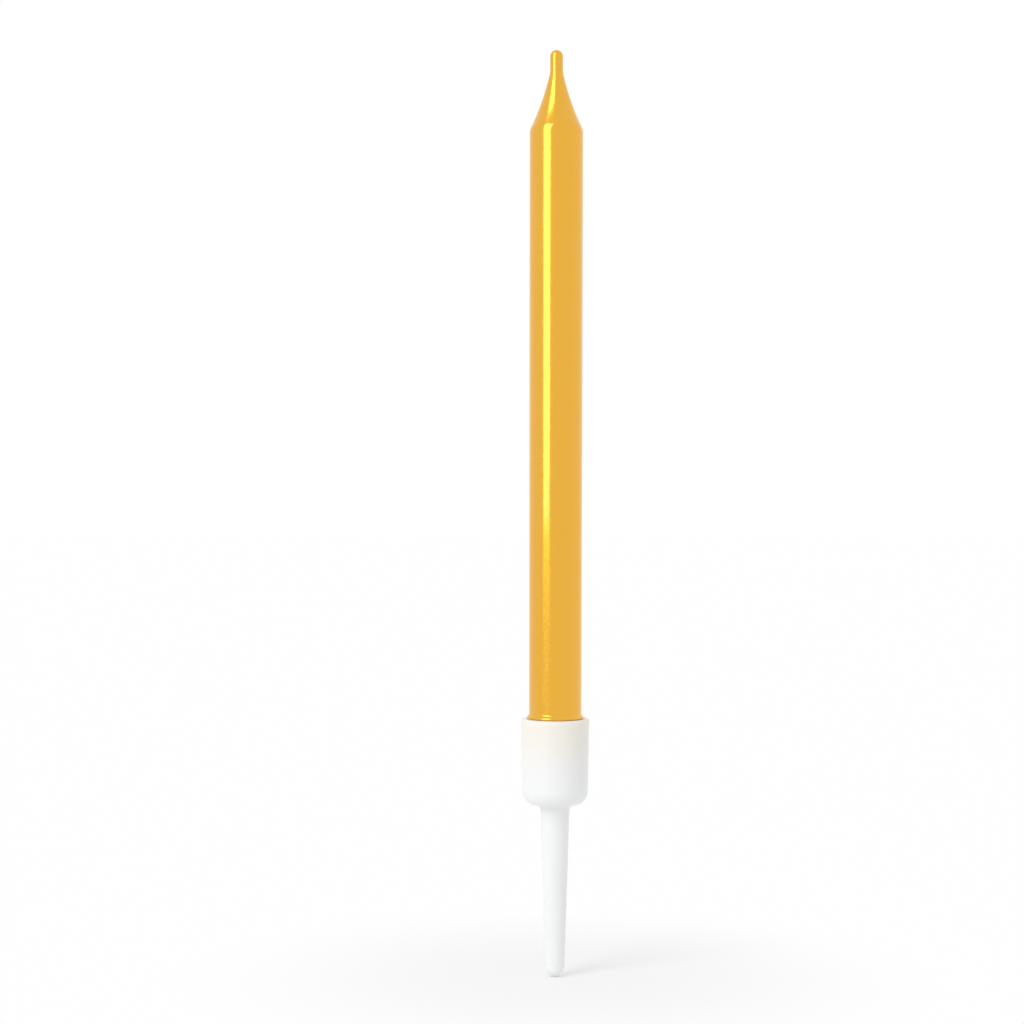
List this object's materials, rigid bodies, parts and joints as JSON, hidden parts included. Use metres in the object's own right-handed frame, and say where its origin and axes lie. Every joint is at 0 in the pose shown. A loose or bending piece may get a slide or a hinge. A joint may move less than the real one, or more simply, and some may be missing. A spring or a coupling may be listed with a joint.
{
  "type": "birthday candle",
  "caption": "Slim round birthday candle with a metallic lacquer coat and a cone tip, in a plastic holder with a cup and a spike for a cake.",
  "frame": {"origin": "on the candle's axis, in the plane of the cup's underside, which rests on the cake", "axes": "+Z along the candle towards the wick's tip; X and Y are free, because every piece is turned about Z"},
  "size_m": [0.0078, 0.0078, 0.1055],
  "materials": {
    "wick_cotton": "matte",
    "paraffin_wax": "satin",
    "gold_lacquer": "gloss",
    "holder_plastic": "gloss"
  },
  "bodies": {
    "holder": {"holder": "holder_plastic"},
    "candle": {"wick": "wick_cotton", "wax_body": "paraffin_wax", "gold_lacquer": "gold_lacquer"}
  },
  "joints": [
    {"name": "candle_pull", "type": "slide", "parent": "holder", "child": "candle", "axis": [0, 0, 1], "range_m": [0, 0.012]}
  ]
}
